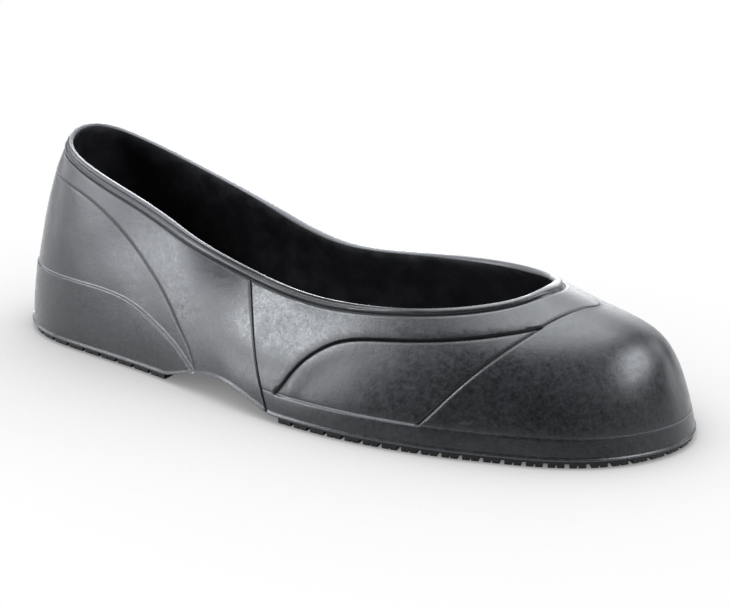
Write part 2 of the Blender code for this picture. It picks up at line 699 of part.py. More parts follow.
def set_out(flat, plate, is_lug):
    """Lift a flat map of lug and groove triangles into a closed plate with lugs."""
    shell = Shell()

    def vertex(i, level):
        x, y = flat[i]
        spring = TOE_SPRING * np.clip((x - TOE_SPRING_START) / (LENGTH - TOE_SPRING_START), 0, 1) ** 2
        height = {"lug": spring, "floor": GROOVE_FLOOR, "top": OUTSOLE_TOP}[level]
        return shell.vertex((level, i), (x, y, height))

    owner = {}
    for tri, lug in zip(plate, is_lug):
        shell.face([vertex(i, "lug" if lug else "floor") for i in tri], flip=True)
        for k in range(3):
            owner[tri[k], tri[(k + 1) % 3]] = lug
    border = {}
    for (a, b), lug in owner.items():
        other = owner.get((b, a))
        if lug and not other:
            shell.face([vertex(a, "lug"), vertex(b, "lug"), vertex(b, "floor"), vertex(a, "floor")])
        if other is None:
            shell.face([vertex(a, "floor"), vertex(b, "floor"), vertex(b, "top"), vertex(a, "top")])
            border[a] = b
    ring = [next(iter(border))]
    while border[ring[-1]] != ring[0]:
        ring.append(border[ring[-1]])
    shell.face([vertex(i, "top") for i in ring])
    return shell


def rubber(name, colour, roughness):
    """A plain rubber material."""
    material = bpy.data.materials.new(name)
    material.use_nodes = True
    shader = material.node_tree.nodes["Principled BSDF"]
    shader.inputs["Base Color"].default_value = (*colour, 1.0)
    shader.inputs["Roughness"].default_value = roughness
    shader.inputs["Metallic"].default_value = 0.0
    return material


def make_object(name, shell, material, sharp_angle):
    """One named object from a closed skin, in metres and centred over the footprint."""
    mesh = bpy.data.meshes.new(name)
    points = (np.array(shell.points) - CENTRE) * MM
    mesh.from_pydata([tuple(point) for point in points], [], shell.faces)
    work = bmesh.new()
    work.from_mesh(mesh)
    bmesh.ops.triangulate(work, faces=work.faces[:])
    bmesh.ops.recalc_face_normals(work, faces=work.faces[:])
    work.to_mesh(mesh)
    work.free()
    mesh.shade_smooth()
    mesh.set_sharp_from_angle(angle=np.radians(sharp_angle))
    mesh.materials.append(material)
    piece = bpy.data.objects.new(name, mesh)
    bpy.context.scene.collection.objects.link(piece)
    return piece


def main():
    for item in list(bpy.data.objects):
        bpy.data.objects.remove(item)
    charcoal = rubber("charcoal_rubber", (0.055, 0.058, 0.064), 0.55)
    bottom = rubber("bottom_rubber", (0.03, 0.032, 0.035), 0.65)
    black = rubber("black_rubber", (0.008, 0.008, 0.009), 0.5)
    make_object("upper", upper_shell(), charcoal, 30)
    make_object("sole", sole_shell(), bottom, 40)
    heel = outsole_shell(0.0, -LENGTH, HEEL_OUTSOLE_FRONT, HEEL_EDGE_PITCH)
    make_object("heel_outsole", heel, black, 30)
    forefoot = outsole_shell(TOE_SHARE, FOREFOOT_OUTSOLE_BACK, 2 * LENGTH, FOREFOOT_EDGE_PITCH)
    make_object("forefoot_outsole", forefoot, black, 30)


main()
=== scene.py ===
"""The looks of the rubber overshoe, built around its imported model.

The upper, the sole and both outsoles are made again as fine meshes, with soft moulded ledges,
grooves, a two-ridge bead and slit lugs. Sizes are in mm until a mesh is made, in metres.
"""
import math

import bmesh
import bpy
import numpy as np
from mathutils import Matrix, Vector
from mathutils.geometry import delaunay_2d_cdt

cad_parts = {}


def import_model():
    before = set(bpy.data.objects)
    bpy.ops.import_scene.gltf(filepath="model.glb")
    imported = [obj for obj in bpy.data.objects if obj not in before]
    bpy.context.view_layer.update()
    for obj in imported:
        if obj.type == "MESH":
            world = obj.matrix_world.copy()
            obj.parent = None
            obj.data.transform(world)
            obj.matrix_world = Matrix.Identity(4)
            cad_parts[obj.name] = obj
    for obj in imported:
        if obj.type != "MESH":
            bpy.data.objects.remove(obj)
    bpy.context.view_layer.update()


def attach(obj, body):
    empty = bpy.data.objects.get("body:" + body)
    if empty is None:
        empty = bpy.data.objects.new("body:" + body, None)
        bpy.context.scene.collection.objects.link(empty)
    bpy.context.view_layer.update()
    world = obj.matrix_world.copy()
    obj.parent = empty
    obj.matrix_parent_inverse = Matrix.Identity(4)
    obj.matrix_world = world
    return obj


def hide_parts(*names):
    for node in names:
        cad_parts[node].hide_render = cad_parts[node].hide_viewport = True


MM = 0.001

# The whole shoe. All sizes and heights are in mm
LENGTH = 301.3
BALL_WIDTH = 105.0
HEEL_HEIGHT = 85.3
INSTEP_HEIGHT = 43.2
WALL = 2.2
GAP = 0.3
EDGE_HEIGHT = 2.6
SOLE_THICKNESS = 3.0

# How far the panels stand out of the wall, and the width of the step at a seam
FOXING_TOP = 10.6
FOXING_PROUD = 0.8
FOXING_PROUD_AT_TOE = 0.4
COUNTER_PROUD = 0.9
COUNTER_PROUD_AT_HEEL = 0.4
QUARTER_PROUD = 0.6
VAMP_PROUD = 0.8
TOE_CAP_PROUD = 0.5
PUFF_PROUD = 0.55
CREASE_PROUD = 0.35
LEDGE = 0.9

# The lip along the wall's lower edge
LIP_PROUD = 0.5
LIP_MORE_AT_HEEL = 0.5
LIP_LESS_IN_FRONT = 0.2
LIP_WIDTH = 0.5
LIP_FADE = 0.6
LIP_LINES = (0.3, 0.55, 0.8, 1.1, 1.6, 2.4)

# The bead and the rim of the collar, with lines of vertices at shares of the bead's width
BEAD_WIDTH = 3.9
BEAD_BY_THROAT = 2.9
BEAD_AT_THROAT = 5.4
BEAD_LINES = (0.05, 0.12, 0.20, 0.30, 0.40, 0.50, 0.58, 0.66, 0.75, 0.84, 0.92)
RIM_THINNING = 0.5
RIM_THINNING_AT_THROAT = 1.0
RIM_CROWN = 0.45

# The outsoles, whose toe lifts off the floor in a soft curve
HEEL_OUTSOLE_FRONT = 101.0
FOREFOOT_OUTSOLE_BACK = 165.0
OUTSOLE_INSET = 0.1
OUTSOLE_TOP = EDGE_HEIGHT - GAP
GROOVE_FLOOR = 1.5
SLIT_FLOOR = 0.9
SLIT = 0.6
EDGE_SLIT_DEPTH = 4.0
LUG = 6.8
LUG_PITCH = 8.8
LUG_SPACING = 1.7
EDGE_LUG_DEPTH = 6.5
HEEL_EDGE_PITCH = 9.9
FOREFOOT_EDGE_PITCH = 7.4
SMALLEST_LUG_AREA = 9.0
TOE_SPRING = 0.7
TOE_SPRING_START = 268.0
LUG_LEVEL, SLIT_LEVEL, GROOVE_LEVEL, TOP_LEVEL = range(4)

# How finely the walls are made
SEAM_STEP = 1.5
OUTER_CELL = 2.4
INNER_CELL = 4.5
SOLE_COLUMNS = 17
FOOTPRINT_POINTS = 360
LINE_POINTS = 400
TINY = 1e-4

# Sections from the heel to the toe: place along, half widths, collar and wall angles
SECTIONS = [
    ("heel_back",   0.000, 0.000, 0.000, 0.086, 0.000, 1.000, 85.2, 30.0, 55.0, 22.0),
    ("heel_corner", 0.053, 0.249, 0.268, 0.118, 0.175, 0.866, 85.0, 27.0, 60.0, 21.0),
    ("heel_side",   0.170, 0.348, 0.363, 0.243, 0.228, 0.554, 84.6, 24.0, 64.0, 18.5),
    ("waist",       0.355, 0.424, 0.320, 0.358, 0.250, 0.248, 82.8, 21.3, 63.5, 16.2),
    ("instep",      0.512, 0.516, 0.347, 0.463, 0.254, 0.030, 82.6, 21.0, 55.0, 14.8),
    ("ball",        0.684, 0.527, 0.458, 0.589, 0.324, 0.000, 80.0, 21.8, 42.0, 15.3),
    ("toe_side",    0.837, 0.425, 0.456, 0.720, 0.288, 0.061, 77.6, 25.0, 31.6, 19.6),
    ("toe_corner",  0.949, 0.259, 0.314, 0.799, 0.150, 0.144, 77.2, 33.5, 27.0, 29.7),
    ("toe_tip",     1.000, 0.000, 0.000, 0.821, 0.000, 0.203, 78.0, 46.0, 18.0, 42.4),
]
COLUMNS = ["name", "foot_along", "foot_lateral", "foot_medial", "collar_along", "collar_half",
           "collar_rise", "foot_angle", "foot_reach", "collar_angle", "collar_reach"]
TOE_TIP_TO_MEDIAL = 6.3
SIDES = ("lateral", "medial")

# Seams. Columns: round, 0 at the heel line and 1 at the toe line; height in mm
COUNTER_TOP = [(0.00, 29.8), (0.10, 29.3), (0.20, 28.8), (0.26, 26.6), (0.32, 20.6), (0.36, 14.9),
               (0.395, 7.5)]
QUARTER_EDGE = [(0.000, 69.0), (0.085, 67.6), (0.148, 61.4), (0.215, 49.3), (0.293, 36.4),
                (0.339, 26.7), (0.364, 19.6), (0.380, 14.4), (0.391, 9.2)]
SIDE_SEAM = [(0.514, 2.6), (0.491, 22.3), (0.468, 43.0)]
FLASH_TOP = [(0.524, 10.0), (0.555, 20.0), (0.586, 26.1), (0.646, 32.6), (0.712, 35.5),
             (0.802, 38.8), (0.893, 42.4)]
TOE_CAP_EDGE = [(0.700, 10.0), (0.738, 19.7), (0.802, 32.1), (0.872, 40.7), (0.911, 44.0),
                (0.951, 46.2), (0.980, 46.6), (1.000, 46.3)]
SOFT_CREASE = [(0.495, 24.0), (0.538, 32.6), (0.584, 39.8)]
ARCH_EDGE = [(0.344, 2.6), (0.362, 4.2), (0.386, 6.7), (0.415, 8.4), (0.436, 8.9), (0.456, 8.3),
             (0.482, 6.1), (0.507, 3.6), (0.519, 2.6)]

# The groove along each seam. Columns: name; side of the line, 1 above or in front and -1 below;
# distance from the line, half width, depth; how strongly painted shade darkens it; lines of vertices
# across the seam
GROOVES = [
    ("counter", -1, 0.9, 0.30, 0.08, 0.15, (-1.0, -0.3, 0.0, 0.3, 0.6, 0.9, 1.3, 2.2)),
    ("quarter", 1, 0.1, 0.28, 0.30, 0.5, (-1.6, -0.8, -0.35, -0.1, 0.15, 0.4, 0.9, 1.8)),
    ("side", 1, 0.3, 0.32, 0.95, 1.0, (-1.4, -0.6, -0.2, 0.05, 0.3, 0.55, 0.9, 1.6)),
    ("flash", 1, 0.1, 0.36, 1.05, 1.0, (-1.8, -0.9, -0.4, -0.15, 0.1, 0.35, 0.7, 1.5)),
    ("toe_cap", -1, 0.1, 0.30, 0.60, 0.9, (-1.6, -0.8, -0.35, -0.1, 0.15, 0.4, 0.9, 1.8)),
    ("foxing", -1, -0.2, 0.25, 0.10, 0.5, (-1.0, -0.4, -0.15, 0.1, 0.4, 0.8, 1.3)),
    ("bead", 1, -0.1, 0.30, 0.60, 0.8, (-1.5, -0.8, -0.4, -0.2, 0.0)),
]

# The viewpoint that the photo's proportions give, in degrees, metres and pixels
CAMERA_TURN, CAMERA_TILT, CAMERA_ROLL = 34.61, 18.19, 1.02
CAMERA_DISTANCE = 0.6752
AIM_FROM_HEEL = 0.1505
AIM_HEIGHT = 0.035
PICTURE_WIDTH, PICTURE_HEIGHT = 730, 608
OPTICAL_CENTRE = (328.7, 286.1)
FOCAL_LENGTH = 1721.76

# Soft square lights. Columns: turn, 0 in front of the outer side and 90 before the toe, and tilt
# above the floor, in degrees; power in W
SOFTBOXES = [
    (330, 68, 3.0), (315, 27, 4.0), (225, 14, 35.3), (300, 40, 18.0), (315, 14, 11.0),
    (180, 88, 22.5), (210, 14, 11.3), (225, 54, 10.5), (202.5, 54, 6.9), (180, 70, 7.5),
    (285, 2, 4.0), (210, 27, 4.5), (270, 14, 4.5), (135, 27, 3.9), (135, 2, 3.4),
    (180, 40, 3.0), (180, 14, 2.8), (180, 27, 2.4), (195, 27, 2.2), (150, 27, 2.1),
    (315, 54, 1.9), (285, 40, 1.9), (180, 54, 1.6), (315, 2, 1.3), (315, 40, 1.0),
    (225, 70, 0.9),
]
SOFTBOX_DISTANCE = 1.5
SOFTBOX_SIZE = 0.45
SOFTBOX_SIZE_BEHIND = 0.90
LIGHT_COLOUR = (0.955, 0.975, 1.0)
LIGHT_AIM = (0, 0, 0.03)

# The table as it is seen, with its painted shade. Columns: how open the spot is to the sky; brightness
TABLE_SHADE = [(0.0, 0.16), (0.12, 0.25), (0.30, 0.30), (0.45, 0.42), (0.60, 0.57), (0.80, 0.80),
               (0.90, 0.92), (0.95, 0.965)]
SHADE_REACH = 0.12


def smooth(share):
    """A soft step from 0 to 1."""
    share = np.clip(share, 0, 1)
    return share * share * (3 - 2 * share)


def fade_in(value, start, width):
    """0 up to the start, and softly up to 1 over the width behind it."""
    return smooth((value - start) / width)


def fade_out(value, end, width):
    """0 from the end on, and softly down to it over the width before it."""
    return smooth((end - value) / width)


def bump(distance, width):
    """1 at no distance, falling softly to 0 past the width."""
    return np.exp(-(distance / width) ** 2)


def unit(vectors):
    """Each vector made one long."""
    return vectors / np.linalg.norm(vectors, axis=-1, keepdims=True)


def steps_along(points, axis=0):
    """Distances from each point to the next."""
    return np.linalg.norm(np.diff(points, axis=axis), axis=-1)


def spline(knots, values, at, period=None):
    """A smooth curve through values at knots, read at other places. A period closes it."""
    knots, values, at = (np.asarray(row, float) for row in (knots, values, at))
    if period:
        at = knots[0] + np.mod(at - knots[0], period)
        knots = np.append(knots, knots[0] + period)
        values = np.append(values, values[0])
    last = len(knots) - 1
    step = np.diff(knots)
    rise = np.diff(values) / step
    system = np.eye(last + 1)
    target = np.zeros(last + 1)
    for i in range(1, last):
        system[i, i - 1:i + 2] = step[i - 1], 2 * (step[i - 1] + step[i]), step[i]
        target[i] = 6 * (rise[i] - rise[i - 1])
    if period:
        system[last, 0] = -1.0
        system[0, [0, 1, last - 1]] = 2 * (step[-1] + step[0]), step[0], step[-1]
        target[0] = 6 * (rise[0] - rise[-1])
    bend = np.linalg.solve(system, target)
    i = np.clip(np.searchsorted(knots, at, side="right") - 1, 0, last - 1)
    near = (knots[i + 1] - at) / step[i]
    far = (at - knots[i]) / step[i]
    curve = ((near ** 3 - near) * bend[i] + (far ** 3 - far) * bend[i + 1]) * step[i] ** 2 / 6
    return near * values[i] + far * values[i + 1] + curve


def there_and_back(outer, inner):
    """One loop round the shoe: the outer side to the toe, then the inner side back."""
    return np.concatenate([outer, inner[1:-1][::-1]])


def both_sides(name):
    """A column of the sections that is the same on both sides, as one loop."""
    return there_and_back(COLUMN[name], COLUMN[name])


COLUMN = {name: np.array([row[i] for row in SECTIONS]) for i, name in enumerate(COLUMNS) if i}
HEEL_X = COUNTER_PROUD_AT_HEEL + LIP_PROUD
FOOT_LENGTH = LENGTH - HEEL_X - FOXING_PROUD_AT_TOE - LIP_PROUD
FOOT_X = HEEL_X + both_sides("foot_along") * FOOT_LENGTH
FOOT_Y = there_and_back(-COLUMN["foot_lateral"], COLUMN["foot_medial"]) * BALL_WIDTH
TOE_KNOT = len(SECTIONS) - 1
FOOT_Y[TOE_KNOT] = TOE_TIP_TO_MEDIAL
CHORDS = np.hypot(np.roll(FOOT_X, -1) - FOOT_X, np.roll(FOOT_Y, -1) - FOOT_Y)
KNOTS = np.concatenate([[0.0], np.cumsum(CHORDS)[:-1]]) / CHORDS.sum()
TOE_SHARE = KNOTS[TOE_KNOT]
HALF_GIRTH = CHORDS.sum() / 2


def around(values, share):
    """A value of the sections at any share of the way round the footprint."""
    return spline(KNOTS, values, share, period=1.0)


FOOTPRINT_Y = around(FOOT_Y, np.linspace(0, 1, 721))
CENTRE = np.array([LENGTH / 2, (FOOTPRINT_Y.min() + FOOTPRINT_Y.max()) / 2, 0.0])


def share_of(place, side="lateral"):
    """Share of the way round of a place from heel (0) to toe (1) on one side."""
    if side == "lateral":
        return place * TOE_SHARE
    return 1 - place * (1 - TOE_SHARE)


def wall_points(share, up):
    """Points of the plain wall, up from the sole (0) to the collar (1)."""
    share, up = np.broadcast_arrays(np.asarray(share, float), np.asarray(up, float))
    foot_z = np.full(share.shape, EDGE_HEIGHT)
    foot = np.stack([around(FOOT_X, share), around(FOOT_Y, share), foot_z], -1)
    collar_x = HEEL_X + both_sides("collar_along") * FOOT_LENGTH
    collar_y = there_and_back(-COLUMN["collar_half"], COLUMN["collar_half"]) * BALL_WIDTH
    collar_z = INSTEP_HEIGHT + both_sides("collar_rise") * (HEEL_HEIGHT - INSTEP_HEIGHT)
    collar = np.stack([around(line, share) for line in (collar_x, collar_y, collar_z)], -1)
    across = unit(collar[..., :2] - foot[..., :2])
    handles = []
    for angle, reach in (("foot_angle", "foot_reach"), ("collar_angle", "collar_reach")):
        tilt = np.radians(around(both_sides(angle), share))[..., None]
        length = around(both_sides(reach), share)[..., None]
        handles.append(length * np.concatenate([across * np.cos(tilt), np.sin(tilt)], -1))
    up = up[..., None]
    first = foot + handles[0]
    second = collar - handles[1]
    down = 1 - up
    by_foot = down ** 3 * foot + 3 * down ** 2 * up * first
    return by_foot + 3 * down * up ** 2 * second + up ** 3 * collar


def wall_slopes(share, up):
    """Unit directions of the plain wall: up it, and straight out of it."""
    upward, onward = (wall_points(np.add(share, on), np.add(up, rise))
                      - wall_points(np.subtract(share, on), np.subtract(up, rise))
                      for on, rise in ((0, TINY), (TINY, 0)))
    return unit(upward), unit(np.cross(onward, upward))


def inside_points(share, up, depth):
    """Points at a depth inside the wall. Close to the sole they keep their height."""
    point = wall_points(share, up)
    upward, out = wall_slopes(share, up)
    inside = point - out * depth
    lean = (out[..., 2] / upward[..., 2])[..., None]
    level = np.clip(1 - np.asarray(up) / 0.3, 0, 1)[..., None] * depth * lean
    return inside + upward * level


def up_at_height(place, height):
    """How far up the wall a height lies, at places from heel to toe."""
    place, height = np.broadcast_arrays(np.asarray(place, float), np.asarray(height, float))
    ladder = np.linspace(0, 1, 161)
    heights = wall_points(share_of(place)[..., None], ladder)[..., 2]
    rows = heights.reshape(-1, len(ladder))
    found = [np.interp(h, row, ladder) for h, row in zip(height.ravel(), rows)]
    return np.array(found).reshape(place.shape)


def seam_height(table, place):
    """Height of a seam at any place. It is level where it meets the heel or the toe line."""
    knots, heights = (list(column) for column in zip(*table))
    if knots[0] == 0.0:
        knots, heights = [-knots[1]] + knots, [heights[1]] + heights
    if knots[-1] == 1.0:
        knots, heights = knots + [2 - knots[-2]], heights + [heights[-2]]
    return spline(knots, heights, np.clip(place, knots[0], knots[-1]))


def edge_height(place):
    """Height of the wall's lower edge, which rises over the arch in a soft curve."""
    knots, heights = zip(*ARCH_EDGE)
    place = np.asarray(place, float)
    shifts = np.linspace(-0.007, 0.007, 9)
    return np.mean([np.interp(place + shift, knots, heights) for shift in shifts], 0)


def seam_line(table):
    """A seam as a dense row of (place, up) points."""
    place = np.linspace(table[0][0], table[-1][0], LINE_POINTS)
    return np.stack([place, up_at_height(place, seam_height(table, place))], -1)


def side_seam_line():
    """The seam down the side, as (place, up) points."""
    places, heights = zip(*SIDE_SEAM)
    height = np.linspace(heights[0], heights[-1], 160)
    place = spline(heights, places, height)
    return np.stack([place, up_at_height(place, height)], -1)


def by_throat(place):
    """0 along the sides of the collar and 1 round its throat."""
    return fade_in(np.asarray(place, float), 0.62, 0.14)


def bead_width(place):
    """Width of the collar bead: narrower by the throat, widest right in front of it."""
    width = BEAD_WIDTH + (BEAD_BY_THROAT - BEAD_WIDTH) * by_throat(place)
    in_front = fade_in(np.asarray(place), 0.92, 0.08)
    return width + (BEAD_AT_THROAT - BEAD_BY_THROAT) * in_front


def bead_line():
    """The lower edge of the collar bead, as (place, up) points."""
    place = np.linspace(0, 1, LINE_POINTS)
    ladder = np.linspace(0.5, 1, 81)
    points = wall_points(share_of(place)[:, None], ladder)
    below_rim = np.cumsum(steps_along(points, 1)[:, ::-1], axis=1)
    width = bead_width(place)
    up = [np.interp(w, row, ladder[:-1][::-1]) for w, row in zip(width, below_rim)]
    return np.stack([place, up], -1)


def foxing_line():
    """The top edge of the foxing band in front of the side seam, as (place, up) points."""
    place = np.linspace(SIDE_SEAM[0][0] - 0.006, 1, LINE_POINTS)
    return np.stack([place, up_at_height(place, FOXING_TOP)], -1)


SEAMS = {
    "counter": seam_line(COUNTER_TOP),
    "quarter": seam_line(QUARTER_EDGE),
    "side": side_seam_line(),
    "flash": seam_line(FLASH_TOP),
    "toe_cap": seam_line(TOE_CAP_EDGE),
    "foxing": foxing_line(),
    "bead": bead_line(),
    "crease": seam_line(SOFT_CREASE),
}


def side_step(line, distance):
    """The line moved over the wall by some mm, to its left as it runs to the toe."""
    share, up = share_of(line[:, 0]), line[:, 1]
    here = wall_points(share, up)
    by_place = (wall_points(share + TINY * TOE_SHARE, up) - here) / TINY
    by_up = (wall_points(share, up + TINY) - here) / TINY
    run = np.gradient(line, axis=0)
    along = unit(by_place * run[:, :1] + by_up * run[:, 1:])
    left = unit(np.cross(np.cross(by_place, by_up), along))
    slopes = (by_place, by_up)
    metric = np.stack([np.stack([(one * other).sum(-1) for other in slopes], -1) for one in slopes], -2)
    pull = np.stack([(left * slope).sum(-1) for slope in slopes], -1)
    shift = np.linalg.solve(metric, pull[..., None])[..., 0]
    return line + shift * distance


def distance_to(name, place, up, points):
    """Distance in mm from a seam, positive above it or in front of the side seam."""
    line = SEAMS[name]
    spots = wall_points(share_of(line[:, 0]), line[:, 1])
    start = spots[:-1]
    run = spots[1:] - start
    length = (run ** 2).sum(-1)
    best = np.full(len(points), np.inf)
    for first in range(0, len(points), 2000):
        block = points[first:first + 2000, None, :]
        share = np.clip(((block - start) * run).sum(-1) / length, 0, 1)
        gap = np.linalg.norm(block - start - run * share[..., None], axis=-1)
        best[first:first + 2000] = gap.min(1)
    if name == "side":
        sign = np.where(place > np.interp(up, line[:, 1], line[:, 0]), 1.0, -1.0)
    else:
        sign = np.where(up > np.interp(place, line[:, 0], line[:, 1]), 1.0, -1.0)
    return best * sign


def bead_profile(above, place):
    """Height of the collar bead: two ridges, and one roll towards the throat."""
    share = above / bead_width(place)
    two = 1.10 * bump(share - 0.27, 0.22) + 0.95 * bump(share - 0.84, 0.17) + 0.15 * smooth(share / 0.3)
    roll = 1.35 * np.sqrt(np.clip(1 - ((share - 0.52) / 0.56) ** 2, 0, 1))
    one = by_throat(place)
    from_heel = 0.5 + 0.5 * fade_in(place, 0.02, 0.10)
    at_throat = fade_in(place, 0.90, 0.08)
    return (two * (1 - one) * from_heel + roll * one) * smooth(share / (0.10 + 0.30 * at_throat))


def groove_cuts(far, place):
    """Depth of each seam's groove at points of the wall."""
    cuts = {}
    for name, side, offset, width, depth, _, _ in GROOVES:
        cuts[name] = depth * bump(far[name] * side - offset, width)
    first, last = SEAMS["flash"][[0, -1], 0]
    ends = fade_in(place, first, 0.03) * fade_out(place, last, 0.10)
    cuts["flash"] *= 0.35 + 0.65 * ends
    cuts["counter"] *= fade_in(place, 0.27, 0.05)
    cuts["toe_cap"] *= 1 - 0.6 * fade_in(place, 0.92, 0.08)
    cuts["bead"] *= 1 - 0.8 * fade_in(place, 0.90, 0.08)
    cuts["side"] *= 1 - fade_in(far["bead"], -0.6, 0.5)
    return cuts


def vamp_forms(far, place, in_front, in_cap):
    """The vamp, the toe cap, a puffed panel and a soft crease."""
    first, last = SEAMS["flash"][[0, -1], 0]
    above_flash = np.where(place < last, smooth(far["flash"] / LEDGE), 1.0)
    above_flash = np.where(place <= first, 1.0, above_flash)
    rise = VAMP_PROUD * above_flash * in_front * (1 - in_cap) + TOE_CAP_PROUD * in_cap
    puffed = fade_out(place, 0.68, 0.08) * fade_in(place, 0.53, 0.02)
    below_flash = np.where(far["flash"] < 0, bump(far["flash"] + 2.5, 4.0), 0.0)
    rise = rise + PUFF_PROUD * puffed * below_flash * (1 - in_cap)
    crease = fade_in(far["crease"], -1.0, 3.0) * bump(np.maximum(far["crease"] - 2, 0), 9.0)
    crease_ends = fade_in(place, 0.49, 0.02) * fade_out(place, 0.60, 0.03)
    return rise + CREASE_PROUD * crease * crease_ends * in_front


def relief(place, up):
    """How far the wall stands out of its plain surface, with its painted shade and its painted
    highlight.
    """
    points = wall_points(share_of(place), up)
    far = {name: distance_to(name, place, up, points) for name in SEAMS}
    cuts = groove_cuts(far, place)
    counter_end = SEAMS["counter"][-1, 0]
    in_front = smooth(far["side"] / LEDGE)
    in_cap = np.where(place >= SEAMS["toe_cap"][0, 0], smooth(-far["toe_cap"] / LEDGE), 0.0)
    quarter_end = SEAMS["quarter"][-1, 0]
    above_quarter = np.where(place < quarter_end, smooth(far["quarter"] / LEDGE), 1.0)
    rise = QUARTER_PROUD * above_quarter * (1 - in_front) - cuts["quarter"]
    rise = rise * smooth(place / 0.12)
    rise = rise + vamp_forms(far, place, in_front, in_cap) - cuts["flash"] - cuts["toe_cap"]
    below_counter = np.where(place < counter_end, smooth(-far["counter"] / LEDGE), 0.0)
    from_heel = np.clip(place / 0.15, 0, 1)
    counter = COUNTER_PROUD_AT_HEEL + (COUNTER_PROUD - COUNTER_PROUD_AT_HEEL) * from_heel
    rise = rise * (1 - below_counter) + counter * below_counter - cuts["counter"]
    in_foxing = smooth(-far["foxing"] / LEDGE) * in_front * (place > SEAMS["foxing"][0, 0])
    by_toe = np.clip((place - 0.75) / 0.25, 0, 1)
    foxing = FOXING_PROUD + (FOXING_PROUD_AT_TOE - FOXING_PROUD) * by_toe
    rise = rise * (1 - in_foxing) + foxing * in_foxing - cuts["foxing"] * in_front
    above_edge = points[:, 2] - edge_height(place)
    lip_proud = LIP_PROUD + LIP_MORE_AT_HEEL * fade_out(place, 0.1, 0.1)
    lip_proud = lip_proud - LIP_LESS_IN_FRONT * fade_in(place, 0.5, 0.1)
    rise = rise + lip_proud * (1 - fade_in(above_edge, LIP_WIDTH, LIP_FADE)) - cuts["side"]
    in_bead = smooth(far["bead"] / 0.3)
    rise = rise * (1 - in_bead) + bead_profile(far["bead"], place) * in_bead - cuts["bead"]
    # Painted shade: the colour goes nearly black in each groove and in the bead's valley, where shade
    # falls
    painted_groove_shade = [cuts[name] / depth * strength for name, _, _, _, depth, strength, _ in GROOVES]
    valley = bump(far["bead"] / bead_width(place) - 0.58, 0.07) * (1 - by_throat(place)) * in_bead
    painted_shade = np.max(painted_groove_shade + [0.30 * valley], 0)
    # Painted highlight: the colour goes paler along the counter and foxing ledges and the wall's lower
    # edge, where they catch the light, less so under the toe cap
    under_cap = fade_in(place, 0.65, 0.06) * fade_out(place, 0.97, 0.05)
    painted_highlight = np.max([0.6 * bump(far["counter"] + 0.15, 0.25) * (place < counter_end),
                   0.6 * bump(far["foxing"] + 0.15, 0.22) * in_front * (1 - 0.9 * under_cap),
                   0.3 * bump(above_edge - 0.2, 0.3)], 0)
    return rise, np.clip(painted_shade, 0, 1), np.clip(painted_highlight, 0, 1)


def meridian_length(place):
    """The ladder up the wall, and the length to each rung at places from heel to toe."""
    ladder = np.linspace(0, 1, 61)
    points = wall_points(share_of(np.asarray(place, float))[..., None], ladder)
    steps = steps_along(points, -2)
    return ladder, np.concatenate([0 * steps[..., :1], np.cumsum(steps, axis=-1)], -1)


def unroll(line):
    """Lay (place, up) points out flat in mm."""
    ladder, lengths = meridian_length(line[:, 0])
    rise = [np.interp(up, ladder, row) for up, row in zip(line[:, 1], lengths)]
    return np.stack([line[:, 0] * HALF_GIRTH, rise], -1)


def roll_up(flat):
    """Turn flat points back into (place, up)."""
    place = np.clip(flat[:, 0] / HALF_GIRTH, 0, 1)
    ladder, lengths = meridian_length(place)
    up = [np.interp(rise, row, ladder) for rise, row in zip(flat[:, 1], lengths)]
    return np.stack([place, up], -1)


def spaced(line, step):
    """The same flat line with even points about one step apart."""
    lengths = np.concatenate([[0], np.cumsum(steps_along(line))])
    count = max(2, int(round(lengths[-1] / step)) + 1)
    marks = np.linspace(0, lengths[-1], count)
    return np.stack([np.interp(marks, lengths, line[:, i]) for i in range(2)], -1)


def lower_edge(lift=0.0):
    """The flat line along the wall's lower edge, or some mm above it."""
    place = np.linspace(0, 1, int(HALF_GIRTH / SEAM_STEP))
    return unroll(np.stack([place, up_at_height(place, edge_height(place) + lift)], -1))


def seam_edges():
    """The flat lines where the relief bends, across each seam and along the lip."""
    lines = []
    for name, side, _, _, _, _, marks in GROOVES:
        for mark in marks:
            line = side_step(SEAMS[name], mark * side * (-1 if name == "side" else 1))
            line = line[((line >= 0) & (line <= (1, 0.999))).all(1)]
            if name in ("counter", "quarter", "bead"):
                line[0, 0] = 0.0
            if name in ("toe_cap", "foxing", "bead"):
                line[-1, 0] = 1.0
            lines.append(spaced(unroll(line), SEAM_STEP))
    for share in BEAD_LINES:
        line = side_step(SEAMS["bead"], share * bead_width(SEAMS["bead"][:, :1]))
        line[0, 0], line[-1, 0] = 0.0, 1.0
        lines.append(spaced(unroll(line), SEAM_STEP))
    return lines + [lower_edge(lift) for lift in LIP_LINES]


def wall_border():
    """The flat outline of half the wall, from the heel along the lower edge and round."""
    place = np.linspace(0, 1, LINE_POINTS)
    lower = lower_edge()
    rim = spaced(unroll(np.stack([place, np.ones(len(place))], -1)), SEAM_STEP)[::-1]
    toe = spaced(np.array([lower[-1], rim[0]]), SEAM_STEP)
    heel = spaced(np.array([rim[-1], lower[0]]), SEAM_STEP)
    return np.concatenate([lower[:-1], toe[:-1], rim[:-1], heel[:-1]])


